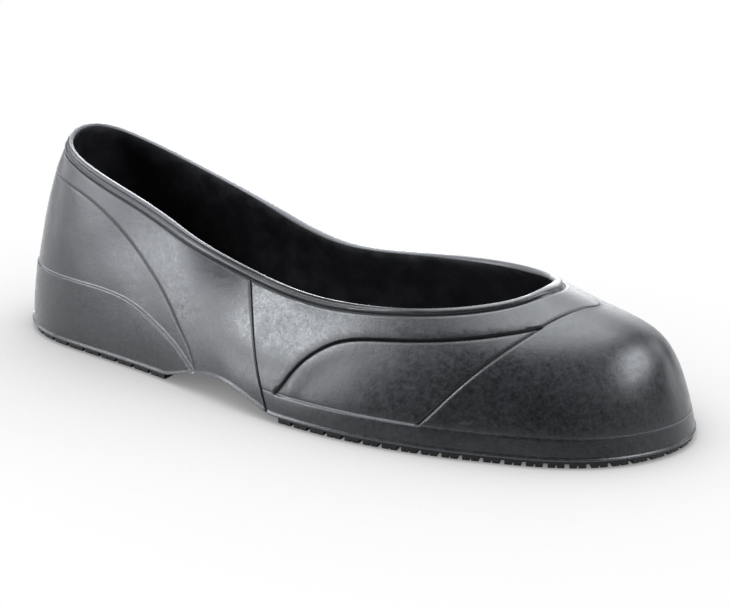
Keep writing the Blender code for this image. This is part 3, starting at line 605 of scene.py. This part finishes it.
def facet(border, lines, cell):
    """Triangles that fill a flat border and follow the lines."""
    fixed = np.concatenate([border] + lines)
    low, high = border.min(0), border.max(0)
    grid = []
    for row, y in enumerate(np.arange(low[1] + cell / 2, high[1], cell * 0.87)):
        near = fixed[np.abs(fixed[:, 1] - y) < cell]
        for x in np.arange(low[0] + cell * (0.5 + 0.5 * (row % 2)), high[0], cell):
            if not len(near) or np.hypot(*(near - (x, y)).T).min() > cell * 0.5:
                grid.append((x, y))
    spots = np.concatenate([fixed, grid]) if grid else fixed
    edges = []
    first = len(border)
    for line in lines:
        edges += [(first + i, first + i + 1) for i in range(len(line) - 1)]
        first += len(line)
    face = [list(range(len(border)))]
    found = delaunay_2d_cdt([Vector(spot) for spot in spots], edges, face, 0, 1e-2)
    inside = [tri for tri, origin in zip(found[2], found[5]) if 0 in origin]
    return np.array(found[0]), inside


def ring_of(following):
    """Corners in order round a ring, from what follows each of them."""
    ring = [next(iter(following))]
    while following[ring[-1]] != ring[0]:
        ring.append(following[ring[-1]])
    return ring


def open_ring(triangles):
    """The corners round the outside of a patch of triangles, in order."""
    pairs = {(tri[i], tri[(i + 1) % 3]): None for tri in triangles for i in range(3)}
    return ring_of({a: b for a, b in pairs if (b, a) not in pairs})


def on_middle(place):
    """Whether a place lies on the heel or the toe line, where both sides meet."""
    return place < 1e-6 or place > 1 - 1e-6


def inner_outline(flat, places, ring):
    """The outline of the inner skin, with wider steps up the heel and the toe line."""
    middle = [on_middle(places[i]) for i in ring]
    count = len(ring)
    inner = [middle[k - 1] and middle[k] and middle[(k + 1) % count] for k in range(count)]
    kept = [corner for corner, skipped in zip(ring, inner) if not skipped]
    outline = []
    for here, after in zip(kept, kept[1:] + kept[:1]):
        outline.append(flat[here])
        if on_middle(places[here]) and on_middle(places[after]):
            outline.extend(spaced(flat[[here, after]], INNER_CELL)[1:-1])
    return np.array(outline)


class Shell:
    """A closed skin. Each vertex has a painted shade and a painted highlight, each face a material
    slot.
    """

    def __init__(self):
        self.points, self.marks, self.faces, self.slots = [], [], [], []
        self.seen = {}

    def vertex(self, key, point, mark=(0.0, 0.0)):
        if key not in self.seen:
            self.seen[key] = len(self.points)
            self.points.append(tuple(point))
            self.marks.append(tuple(mark))
        return self.seen[key]

    def face(self, corners, flip=False, slot=0):
        corners = list(dict.fromkeys(corners))
        if len(corners) > 2:
            self.faces.append(corners[::-1] if flip else corners)
            self.slots.append(slot)


def skin_key(name, side, spot, place):
    """What tells vertices apart. Both sides share those of the heel and toe line."""
    return name, "middle" if on_middle(place) else side, round(spot[0], 3), round(spot[1], 3)


def add_skin(shell, name, flat, triangles, points_of, slot):
    """Add both halves of one skin."""
    wall = roll_up(flat)
    for side in SIDES:
        points, marks = points_of(share_of(wall[:, 0], side), wall[:, 1], wall[:, 0])
        for spot, place, point, mark in zip(flat, wall[:, 0], points, marks):
            shell.vertex(skin_key(name, side, spot, place), point, mark)
        for tri in triangles:
            corners = [shell.seen[skin_key(name, side, flat[i], wall[i, 0])] for i in tri]
            shell.face(corners, flip=(side == "medial") != (name == "inner"), slot=slot)


# The relief is the same on both sides, so it is worked out once
RELIEF = []


def outer_points(share, up, place):
    """Points of the outer skin, with its relief and a faint unevenness."""
    if not RELIEF:
        RELIEF.extend(relief(place, up))
    rise, painted_shade, painted_highlight = RELIEF
    _, out = wall_slopes(share, up)
    plain = wall_points(share, up)
    x, y, z = plain.T
    uneven = 0.10 * np.sin(x / 9.3 + 1.7 * np.sin(z / 13.0)) * np.sin(z / 7.1 + y / 11.0)
    uneven = uneven + 0.06 * np.sin(x / 4.1 + z / 5.3) * np.sin(y / 3.9 - z / 6.1)
    edge = smooth(np.minimum(up, 1 - up) / 0.08)
    return plain + out * (rise + uneven * edge)[:, None], np.stack([painted_shade, painted_highlight], -1)


def inner_points(share, up, place):
    """Points of the plain inner skin."""
    thinning = RIM_THINNING + (RIM_THINNING_AT_THROAT - RIM_THINNING) * by_throat(place)
    points = inside_points(share, up, (WALL - thinning * smooth((up - 0.92) / 0.08))[:, None])
    return points, np.zeros((len(points), 2))


def close_edge(shell, side, ends, at_rim):
    """Join the outer and inner skins along one edge. The rim is rounded."""
    rows = []
    for spot, place in ends:
        row = [shell.seen[skin_key(name, side, spot, place)] for name in ("outer", "inner")]
        if at_rim:
            outside, inside = (np.array(shell.points[corner]) for corner in row)
            middle, half = (outside + inside) / 2, (outside - inside) / 2
            for k, turn in enumerate(np.radians([30, 60, 90, 120, 150])):
                crown = middle + half * np.cos(turn) + np.array([0, 0, RIM_CROWN]) * np.sin(turn)
                key = skin_key("crown%d" % k, side, spot, place)
                # The rim's crown gets some painted shade, which also roughens it, and some painted
                # highlight, most at its top
                mark = (0.22 * np.sin(turn), 0.2 * np.sin(turn))
                row.insert(1 + k, shell.vertex(key, crown, mark))
        rows.append(row)
    here, after = rows
    for k in range(len(here) - 1):
        slot = 1 if at_rim and k == len(here) - 2 else 0
        corners = [here[k], here[k + 1], after[k + 1], after[k]]
        shell.face(corners, flip=side == "medial", slot=slot)


def upper_shell():
    """The hollow upper: outer skin, inner skin, and the edges that join them."""
    shell = Shell()
    flat, triangles = facet(wall_border(), seam_edges(), OUTER_CELL)
    add_skin(shell, "outer", flat, triangles, outer_points, 0)
    ring = open_ring(triangles)
    wall = roll_up(flat)
    outline = inner_outline(flat, wall[:, 0], ring)
    inner_flat, inner_triangles = facet(outline, [lower_edge(SOLE_THICKNESS)], INNER_CELL)
    add_skin(shell, "inner", inner_flat, inner_triangles, inner_points, 1)
    for here, after in zip(ring, ring[1:] + ring[:1]):
        if on_middle(wall[here, 0]) and on_middle(wall[after, 0]):
            continue
        ends = [(flat[i], wall[i, 0]) for i in (here, after)]
        for side in SIDES:
            close_edge(shell, side, ends, at_rim=wall[here, 1] > 0.5)
    return shell


def sole_shell():
    """The full-length bottom inside the wall, in rows of points across."""
    shell = Shell()
    places = np.linspace(0, 1, int(HALF_GIRTH / SEAM_STEP))
    last = len(places) - 1
    rows = {}
    for level, lift in (("under", 0.0), ("over", SOLE_THICKNESS)):
        height = edge_height(places) + lift
        up = up_at_height(places, height)
        edges = [inside_points(share_of(places, side), up, WALL + GAP) for side in SIDES]
        for edge in edges:
            edge[:, 2] = height
        for i in range(last + 1):
            tip = i in (0, last)
            spread = [0.0] if tip else np.linspace(0, 1, SOLE_COLUMNS)
            row = []
            for k, share in enumerate(spread):
                point = edges[0][i] * (1 - share) + edges[1][i] * share
                row.append(shell.vertex((level, i, k), point))
            rows[level, i] = row * (SOLE_COLUMNS if tip else 1)
    for i in range(last):
        for k in range(SOLE_COLUMNS - 1):
            for level, slot in (("under", 0), ("over", 1)):
                here, there = rows[level, i], rows[level, i + 1]
                corners = [here[k], there[k], there[k + 1], here[k + 1]]
                shell.face(corners, flip=level == "under", slot=slot)
        for k in (0, SOLE_COLUMNS - 1):
            round_edge = (("under", i), ("under", i + 1), ("over", i + 1), ("over", i))
            shell.face([rows[spot][k] for spot in round_edge], flip=k > 0)
    return shell


def foot_edge(share, inset):
    """Flat points of the wall's foot, moved in by some mm."""
    before, edge, after = (wall_points(np.add(share, shift), 0.0)[:, :2]
                           for shift in (-TINY, 0.0, TINY))
    run = after - before
    inward = np.stack([-run[:, 1], run[:, 0]], -1) / np.hypot(*run.T)[:, None]
    return edge + inward * inset


def foot_polygon(inset):
    """The closed outline of the foot, moved in by some mm."""
    share = np.arange(FOOTPRINT_POINTS) / FOOTPRINT_POINTS
    return [tuple(spot) for spot in foot_edge(share, inset)]


def edge_blocks(middle, back, front, pitch):
    """Corners of the lugs along the curved edge, and of a slit in each."""
    share = middle + np.linspace(-0.5, 0.5, 3201)
    edge = foot_edge(share, OUTSOLE_INSET)
    keep = (edge[:, 0] >= back) & (edge[:, 0] <= front)
    share, edge = share[keep], edge[keep]
    lengths = np.concatenate([[0], np.cumsum(steps_along(edge))])
    count = int(round((lengths[-1] + LUG_SPACING) / pitch))
    pitch = (lengths[-1] + LUG_SPACING) / count
    lugs, slits = [], []
    for i in range(count):
        low, high = i * pitch, (i + 1) * pitch - LUG_SPACING
        middle_of = (low + high) / 2
        for found, ends, depth in ((lugs, (low, high), EDGE_LUG_DEPTH),
                                   (slits, (middle_of - SLIT / 2, middle_of + SLIT / 2),
                                    EDGE_SLIT_DEPTH)):
            marks = np.interp(np.linspace(*ends, 5), lengths, share)
            outside = foot_edge(marks, OUTSOLE_INSET - 1.0)
            inside = foot_edge(marks[::-1], OUTSOLE_INSET + depth)
            found.append([tuple(spot) for spot in np.concatenate([outside, inside])])
    return lugs, slits


def field_blocks(back, front):
    """Corners of the square lugs in offset rows, and of a slit in each."""
    lugs, slits = [], []
    columns = int((front - back) / LUG_PITCH) + 1
    rows = int(BALL_WIDTH / LUG_PITCH / 2) + 1
    for column in range(columns):
        left = back + column * LUG_PITCH
        right = min(left + LUG, front)
        for row in range(-rows, rows + 1):
            low = (row + 0.5 * (column % 2)) * LUG_PITCH - LUG / 2 + CENTRE[1]
            cut = low + LUG / 2 - SLIT / 2
            for found, start, width, past in ((lugs, low, LUG, 0.0), (slits, cut, SLIT, 0.1)):
                found.append([(left - past, start), (right + past, start),
                              (right + past, start + width), (left - past, start + width)])
    return lugs, slits


def outsole_shell(middle, back, front, pitch):
    """A thin plate with lugs, from one flat map of lugs, slits and grooves."""
    low, high = max(back, -LUG), min(front, LENGTH + LUG)
    band = [(low, -BALL_WIDTH), (high, -BALL_WIDTH), (high, BALL_WIDTH), (low, BALL_WIDTH)]
    field = foot_polygon(OUTSOLE_INSET + EDGE_LUG_DEPTH + LUG_SPACING)
    edge_lugs, edge_slits = edge_blocks(middle, back, front, pitch)
    field_lugs, field_slits = field_blocks(low, high)
    foot = foot_polygon(OUTSOLE_INSET)
    groups = [[foot], [band], [field], edge_lugs, field_lugs, edge_slits, field_slits]
    spots, faces, group_of = [], [], []
    for number, group in enumerate(groups):
        for polygon in group:
            faces.append(list(range(len(spots), len(spots) + len(polygon))))
            group_of.append(number)
            spots += polygon
    found = delaunay_2d_cdt([Vector(spot) for spot in spots], [], faces, 0, 1e-3)
    flat = np.array(found[0])
    plate, lug_of, slit = [], [], []
    sizes = {}
    for tri, origin in zip(found[2], found[5]):
        groups_here = {group_of[face] for face in origin}
        if not {0, 1} <= groups_here:
            continue
        lugs = [f for f in origin if group_of[f] == 3 or group_of[f] == 4 and 2 in groups_here]
        lug = max(lugs, default=None)
        plate.append(tuple(tri))
        lug_of.append(lug)
        slit.append(5 in groups_here or 6 in groups_here and 2 in groups_here)
        corner, *others = flat[list(tri)]
        sizes[lug] = sizes.get(lug, 0.0) + abs(np.linalg.det(others - corner)) / 2
    levels = []
    for lug, cut in zip(lug_of, slit):
        whole = lug is not None and sizes[lug] > SMALLEST_LUG_AREA
        levels.append(GROOVE_LEVEL if not whole else SLIT_LEVEL if cut else LUG_LEVEL)
    return set_out(flat, plate, levels)


def set_out(flat, plate, levels):
    """Lift a flat map of triangles into a closed plate with lugs."""
    shell = Shell()

    def vertex(i, level):
        x, y = flat[i]
        spring = TOE_SPRING * np.clip((x - TOE_SPRING_START) / (LENGTH - TOE_SPRING_START), 0, 1) ** 2
        height = (spring, SLIT_FLOOR, GROOVE_FLOOR, OUTSOLE_TOP)[level]
        return shell.vertex((level, i), (x, y, height))

    owner = {}
    touching = {}
    for tri, level in zip(plate, levels):
        shell.face([vertex(i, level) for i in tri], flip=True)
        for k in range(3):
            owner[tri[k], tri[(k + 1) % 3]] = level
            touching.setdefault(tri[k], set()).add(level)
    outside = {i for (a, b) in owner if (b, a) not in owner for i in (a, b)}
    for i in outside:
        touching[i].add(TOP_LEVEL)

    def rungs(i, low, high):
        """The corners that a spot has from one level to another, so that walls share them."""
        return [vertex(i, level) for level in range(low, high + 1) if level in touching[i]]

    border = {}
    for (a, b), level in owner.items():
        other = owner.get((b, a))
        if other is None:
            border[a] = b
            other = TOP_LEVEL
        if level < other:
            shell.face(rungs(b, level, other) + rungs(a, level, other)[::-1], flip=True)
    shell.face([vertex(i, TOP_LEVEL) for i in ring_of(border)])
    return shell


def put_in_scene(name, data):
    """A new object that shows a mesh, a light or a camera."""
    holder = bpy.data.objects.new(name, data)
    bpy.context.scene.collection.objects.link(holder)
    return holder


def make_mesh(name, shell, sharp_angle):
    """A mesh object in metres, with its marks as two attributes."""
    mesh = bpy.data.meshes.new(name)
    points = (np.array(shell.points) - CENTRE) * MM
    mesh.from_pydata(points.tolist(), [], shell.faces)
    mesh.polygons.foreach_set("material_index", shell.slots)
    for i, mark in enumerate(("painted_shade", "painted_highlight")):
        values = np.array([row[i] for row in shell.marks], dtype=np.float32)
        mesh.attributes.new(mark, "FLOAT", "POINT").data.foreach_set("value", values)
    work = bmesh.new()
    work.from_mesh(mesh)
    bmesh.ops.recalc_face_normals(work, faces=work.faces[:])
    work.to_mesh(mesh)
    work.free()
    mesh.shade_smooth()
    mesh.set_sharp_from_angle(angle=math.radians(sharp_angle))
    return put_in_scene(name, mesh)


def soften_edges(piece, width):
    """Flat faces merged, and every sharp edge rounded a little."""
    work = bmesh.new()
    work.from_mesh(piece.data)
    bmesh.ops.dissolve_limit(work, angle_limit=math.radians(1), verts=work.verts[:],
                             edges=work.edges[:])
    work.to_mesh(piece.data)
    work.free()
    rounding = piece.modifiers.new("rounding", "BEVEL")
    rounding.width = width
    rounding.segments = 2
    rounding.limit_method = "ANGLE"
    rounding.angle_limit = math.radians(40)


class Nodes:
    """A helper that adds linked shader nodes to one material."""

    def __init__(self, name):
        self.material = bpy.data.materials.new(name)
        self.material.use_nodes = True
        self.tree = self.material.node_tree
        self.shader = self.tree.nodes["Principled BSDF"]
        self.place = self.add("ShaderNodeTexCoord").outputs["Object"]

    def add(self, kind, inputs=None, **settings):
        node = self.tree.nodes.new(kind)
        for key, value in settings.items():
            setattr(node, key, value)
        for key, value in (inputs or {}).items():
            if isinstance(value, bpy.types.NodeSocket):
                self.tree.links.new(value, node.inputs[key])
            else:
                node.inputs[key].default_value = value
        return node

    def noise(self, scale, detail=3.0, roughness=0.55, stretch=None):
        place = self.place
        if stretch:
            place = self.add("ShaderNodeMapping", {"Vector": place, "Scale": stretch}).outputs[0]
        inputs = {"Vector": place, "Scale": scale, "Detail": detail, "Roughness": roughness}
        return self.add("ShaderNodeTexNoise", inputs).outputs["Fac"]

    def spread(self, value, low, high, to_low=0.0, to_high=1.0):
        inputs = dict(enumerate((value, low, high, to_low, to_high)))
        return self.add("ShaderNodeMapRange", inputs, interpolation_type="SMOOTHSTEP").outputs[0]

    def math(self, operation, a, b=0.0):
        return self.add("ShaderNodeMath", {0: a, 1: b}, operation=operation).outputs[0]

    def product(self, *factors):
        total = factors[0]
        for factor in factors[1:]:
            total = self.math("MULTIPLY", total, factor)
        return total

    def weighed(self, *parts):
        total = 0.0
        for value, weight in parts:
            total = self.math("ADD", total, self.math("MULTIPLY", value, weight))
        return total

    def mix(self, share, a, b):
        a, b = (c if isinstance(c, bpy.types.NodeSocket) else (*c, 1.0) for c in (a, b))
        return self.add("ShaderNodeMix", {0: share, 6: a, 7: b}, data_type="RGBA").outputs[2]

    def attribute(self, name):
        return self.add("ShaderNodeAttribute", attribute_name=name).outputs["Fac"]

    def link(self, value, socket):
        self.tree.links.new(value, self.shader.inputs[socket])

    def roughen(self, height, strength, distance):
        inputs = {"Height": height, "Strength": strength, "Distance": distance}
        self.link(self.add("ShaderNodeBump", inputs).outputs["Normal"], "Normal")


def charcoal_rubber():
    """Charcoal rubber: mottled bloom, grain, scuffs, painted shade in the grooves, painted highlights
    that make the ledges paler, and a painted patch of light on the rear walls.
    """
    n = Nodes("charcoal_rubber")
    clouds = n.spread(n.noise(26.0, 5.0, 0.62), 0.33, 0.68)
    mottle = n.spread(n.noise(420.0, 5.0, 0.68), 0.32, 0.68)
    specks = n.spread(n.noise(950.0, 2.0, 0.6), 0.35, 0.68)
    bloom = n.weighed((clouds, 0.25), (mottle, 0.40), (specks, 0.35))
    scuffs = n.product(n.spread(n.noise(75.0, 6.0, 0.72, (1.0, 1.0, 4.0)), 0.60, 0.70),
                       n.spread(n.noise(18.0, 2.0), 0.45, 0.60))
    # Painted light: a paler patch on the rear walls, about 26 to 133 mm in front of the heel, fading in
    # from 26 to 46 mm up, standing in for the light that falls there
    along, _, high = n.add("ShaderNodeSeparateXYZ", {0: n.place}).outputs
    painted_light_patch = n.product(n.spread(along, -0.125, -0.085), n.spread(along, -0.050, -0.018, 1.0, 0.0),
                     n.spread(high, 0.026, 0.046), n.weighed((bloom, 0.5), (1.0, 0.5)))
    painted_shade = n.attribute("painted_shade")
    colour = n.mix(bloom, (0.0018, 0.0018, 0.0021), (0.011, 0.0112, 0.0128))
    colour = n.mix(n.product(scuffs, 0.25), colour, (0.030, 0.031, 0.035))
    colour = n.mix(painted_light_patch, colour, (0.045, 0.046, 0.052))
    # Painted highlight: paler where the mesh marks ledges that catch the light
    colour = n.mix(n.attribute("painted_highlight"), colour, (0.10, 0.104, 0.115))
    # Painted shade: nearly black, and rougher, where the mesh marks grooves
    colour = n.mix(painted_shade, colour, (0.0015, 0.0015, 0.002))
    n.link(colour, "Base Color")
    n.link(n.weighed((1.0, 0.28), (bloom, 0.17), (scuffs, 0.06), (painted_shade, 0.50)), "Roughness")
    n.shader.inputs["IOR"].default_value = 1.45
    n.shader.inputs["Specular Tint"].default_value = (0.95, 0.97, 1.0, 1.0)
    grain = n.noise(1500.0, 2.0, 0.6)
    dents = n.noise(420.0, 4.0, 0.62)
    height = n.weighed((grain, 0.30), (dents, 0.60), (scuffs, -0.15))
    n.roughen(height, 0.45, 0.0002)
    return n.material


def black_rubber(name, colour, roughness, shine, grain_size):
    """Black rubber with a fine grain and slightly uneven gloss."""
    n = Nodes(name)
    patches = n.noise(120.0, 4.0, 0.6)
    paler = tuple(part * 2.2 for part in colour)
    n.link(n.mix(n.spread(patches, 0.4, 0.75), colour, paler), "Base Color")
    n.link(n.spread(patches, 0.3, 0.7, roughness - 0.08, roughness + 0.08), "Roughness")
    n.shader.inputs["Specular IOR Level"].default_value = shine
    n.roughen(n.noise(grain_size, 3.0, 0.6), 0.3, 0.0003)
    return n.material


def direction(turn, tilt):
    """The way out from the shoe at a turn and a tilt in degrees."""
    turn, tilt = math.radians(turn), math.radians(tilt)
    return Vector((math.sin(turn) * math.cos(tilt), -math.cos(turn) * math.cos(tilt), math.sin(tilt)))


def add_camera():
    """The photograph's viewpoint."""
    turn, roll = math.radians(CAMERA_TURN), math.radians(CAMERA_ROLL)
    target = Vector((AIM_FROM_HEEL - LENGTH / 2 * MM, -CENTRE[1] * MM, AIM_HEIGHT))
    back = direction(CAMERA_TURN, CAMERA_TILT)
    right = Vector((math.cos(turn), math.sin(turn), 0))
    up = back.cross(right)
    across = right * math.cos(roll) - up * math.sin(roll)
    upright = right * math.sin(roll) + up * math.cos(roll)
    camera = bpy.data.cameras.new("camera")
    camera.lens = FOCAL_LENGTH / PICTURE_WIDTH * camera.sensor_width
    camera.shift_x = (PICTURE_WIDTH / 2 - OPTICAL_CENTRE[0]) / PICTURE_WIDTH
    camera.shift_y = (OPTICAL_CENTRE[1] - PICTURE_HEIGHT / 2) / PICTURE_WIDTH
    camera.clip_start = 0.05
    camera.clip_end = 50
    holder = put_in_scene("camera", camera)
    place = Matrix((across, upright, back)).transposed().to_4x4()
    place.translation = target + back * CAMERA_DISTANCE
    holder.matrix_world = place
    bpy.context.scene.camera = holder


def add_light(turn, tilt, distance, size, power):
    """A soft square light that faces the shoe."""
    away = direction(turn, tilt)
    light = bpy.data.lights.new("softbox", "AREA")
    light.shape = "SQUARE"
    light.size = size
    light.energy = power
    light.color = LIGHT_COLOUR
    holder = put_in_scene("softbox", light)
    holder.location = Vector(LIGHT_AIM) + away * distance
    holder.rotation_euler = (-away).to_track_quat("-Z", "Y").to_euler()


def add_lights():
    """The softboxes, larger behind the shoe, and one before the toe for its highlight."""
    for turn, tilt, power in SOFTBOXES:
        size = SOFTBOX_SIZE_BEHIND if 150 <= turn <= 240 else SOFTBOX_SIZE
        add_light(turn, tilt, SOFTBOX_DISTANCE, size, power)
    add_light(turn=90, tilt=37, distance=1.2, size=0.60, power=19.0)


def when_seen(tree, seen, unseen):
    """Mix two shaders: one that the camera sees and one that lights the shoe."""
    mix = tree.nodes.new("ShaderNodeMixShader")
    path = tree.nodes.new("ShaderNodeLightPath")
    tree.links.new(path.outputs["Is Camera Ray"], mix.inputs[0])
    tree.links.new(unseen, mix.inputs[1])
    tree.links.new(seen, mix.inputs[2])
    return mix.outputs[0]


def add_stage():
    """A white table that the camera sees glowing evenly, with a painted shade close to the shoe; to the
    shoe it is a grey table with a faint glow.
    """
    mesh = bpy.data.meshes.new("table")
    mesh.from_pydata([(-6, -6, 0), (6, -6, 0), (6, 6, 0), (-6, 6, 0)], [], [(0, 1, 2, 3)])
    table = put_in_scene("table", mesh)
    table.location.z = -0.0002
    n = Nodes("white_table")
    # Painted shade: the glow is dimmed where the shoe hides more of the sky
    shade = n.add("ShaderNodeAmbientOcclusion", {"Distance": SHADE_REACH}, samples=12)
    ramp = n.add("ShaderNodeValToRGB", {0: shade.outputs["AO"]})
    steps = ramp.color_ramp.elements
    for place, level in TABLE_SHADE:
        steps.new(place).color = (level, level, level * 1.01, 1)
    steps.remove(steps[0])
    steps[-1].position = 0.99
    steps[-1].color = (1, 1, 1, 1)
    glow = n.add("ShaderNodeEmission", {"Color": ramp.outputs["Color"]})
    for key, value in (("Base Color", (0.3, 0.3, 0.3, 1)), ("Roughness", 0.8),
                       ("Emission Color", (1, 1, 1, 1)), ("Emission Strength", 0.12)):
        n.shader.inputs[key].default_value = value
    surface = when_seen(n.tree, glow.outputs[0], n.shader.outputs[0])
    n.tree.links.new(surface, n.tree.nodes["Material Output"].inputs["Surface"])
    mesh.materials.append(n.material)


def add_world():
    """A white surround where it is seen, and almost none of its light on the shoe."""
    world = bpy.data.worlds.new("surround")
    world.use_nodes = True
    tree = world.node_tree
    sky = tree.nodes["Background"]
    sky.inputs["Color"].default_value = (1, 1, 1, 1)
    dim = tree.nodes.new("ShaderNodeBackground")
    dim.inputs["Strength"].default_value = 0.01
    surface = when_seen(tree, sky.outputs[0], dim.outputs[0])
    tree.links.new(surface, tree.nodes["World Output"].inputs["Surface"])
    bpy.context.scene.world = world


def main():
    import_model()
    bpy.context.scene.view_settings.view_transform = "Standard"
    bpy.context.scene.cycles.use_denoising = True

    charcoal = charcoal_rubber()
    inside = black_rubber("inside_rubber", (0.0055, 0.0055, 0.0066), 0.5, 0.33, 400.0)
    bottom = black_rubber("bottom_rubber", (0.016, 0.016, 0.018), 0.55, 0.4, 500.0)
    black = black_rubber("black_rubber", (0.004, 0.004, 0.005), 0.5, 0.3, 700.0)

    heel = outsole_shell(0.0, -LENGTH, HEEL_OUTSOLE_FRONT, HEEL_EDGE_PITCH)
    forefoot = outsole_shell(TOE_SHARE, FOREFOOT_OUTSOLE_BACK, 2 * LENGTH, FOREFOOT_EDGE_PITCH)
    for name, shell, sharp_angle, materials, node, slot in (
            ("rubber_upper", upper_shell(), 50, (charcoal, inside), "upper", "charcoal_rubber"),
            ("rubber_sole", sole_shell(), 40, (bottom, inside), "sole", "bottom_rubber"),
            ("heel_lugs", heel, 30, (black,), "heel_outsole", "black_rubber"),
            ("forefoot_lugs", forefoot, 30, (black,), "forefoot_outsole", "black_rubber")):
        piece = make_mesh(name, shell, sharp_angle)
        for material in materials:
            piece.data.materials.append(material)
        if shell in (heel, forefoot):
            soften_edges(piece, 0.25 * MM)
        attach(piece, "root")
        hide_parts(node)

    add_camera()
    add_world()
    add_stage()
    add_lights()


main()
